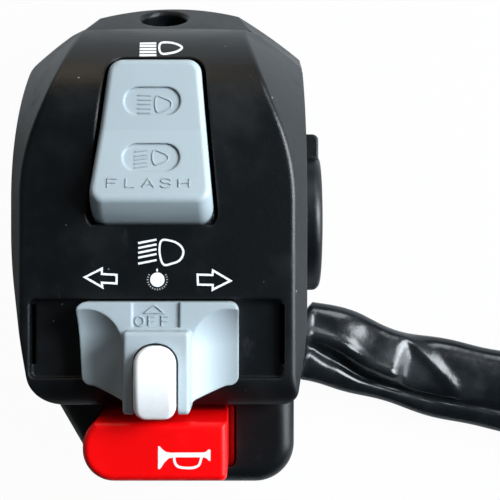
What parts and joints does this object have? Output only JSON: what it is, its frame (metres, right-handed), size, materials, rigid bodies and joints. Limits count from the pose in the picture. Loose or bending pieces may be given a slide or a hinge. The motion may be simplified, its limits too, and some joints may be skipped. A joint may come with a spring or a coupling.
{
  "type": "handlebar switch cluster",
  "caption": "Two-shell handlebar switch housing with tilting beam rocker, sliding turn knob with push-to-cancel button, horn button, bar collar and sleeved harness with plug.",
  "frame": {"origin": "handlebar axis, at the middle of the housing's width", "axes": "+X along the handlebar towards its middle, out of the collar; +Y towards the housing's top with the hole; +Z out of the front face with the keys"},
  "size_m": [0.2055, 0.1436, 0.053],
  "materials": {
    "housing_plastic": "fine satin grain",
    "grey_key": "smooth, semi gloss",
    "white_key": "smooth, glossy",
    "red_key": "smooth, glossy",
    "zinc_steel": "zinc plated",
    "plain_steel": "bright drawn",
    "spring_steel": "bright wire",
    "contact_brass": "bright",
    "inner_plastic": "satin",
    "white_inner_plastic": "satin",
    "board": "pressed laminate",
    "sleeve_vinyl": "soft, semi gloss",
    "wire_vinyl": "smooth"
  },
  "bodies": {
    "housing": {"front_shell": "housing_plastic", "rear_shell": "housing_plastic", "housing_screws": "zinc_steel", "thread_inserts": "contact_brass", "rocker_pin": "plain_steel", "dimmer_block": "inner_plastic", "dimmer_cap": "inner_plastic", "dimmer_pins": "contact_brass", "dimmer_spring": "spring_steel", "passing_leaf": "contact_brass", "leaf_spacer": "inner_plastic", "passing_contact": "contact_brass", "turn_board": "board", "turn_contacts": "contact_brass", "horn_base": "board", "horn_studs": "contact_brass", "horn_spring": "spring_steel", "board_screws": "zinc_steel", "cable_clamp": "zinc_steel", "clamp_screws": "zinc_steel", "harness_sleeve": "sleeve_vinyl", "outer_wires": "wire_vinyl", "plug_housing": "white_inner_plastic", "plug_pins": "contact_brass"},
    "rocker": {"rocker_key": "grey_key"},
    "plunger": {"dimmer_plunger": "white_inner_plastic", "dimmer_bridge": "contact_brass"},
    "turn_slide": {"turn_knob": "grey_key", "slider_shield": "inner_plastic", "turn_carrier": "inner_plastic", "carrier_screw": "zinc_steel", "turn_wiper": "contact_brass", "detent_ball": "plain_steel", "detent_spring": "spring_steel", "cancel_spring": "spring_steel"},
    "cancel": {"cancel_button": "white_key"},
    "horn": {"horn_button": "red_key", "horn_bridge": "contact_brass"}
  },
  "joints": [
    {"name": "beam_rocker", "type": "hinge", "parent": "housing", "child": "rocker", "pos_m": [-0.0007, 0.013, 0.0185], "axis": [1, 0, 0], "range_deg": [0, 14]},
    {"name": "dimmer_plunger", "type": "slide", "parent": "housing", "child": "plunger", "axis": [0, 0, 1], "range_m": [0, 0.0022], "deforming": ["dimmer_spring"]},
    {"name": "turn_slide", "type": "slide", "parent": "housing", "child": "turn_slide", "axis": [1, 0, 0], "range_m": [-0.004, 0.004]},
    {"name": "turn_cancel", "type": "slide", "parent": "turn_slide", "child": "cancel", "axis": [0, 0, -1], "range_m": [0, 0.0022], "stiffness_N_per_m": 400, "springref_m": -0.0015, "deforming": ["cancel_spring"]},
    {"name": "horn_press", "type": "slide", "parent": "housing", "child": "horn", "axis": [0, 0, -1], "range_m": [0, 0.003], "stiffness_N_per_m": 400, "springref_m": -0.002, "deforming": ["horn_spring"]}
  ],
  "couplings": [
    {"joint": "dimmer_plunger", "follows": "beam_rocker", "m_per_rad": 0.00898}
  ]
}
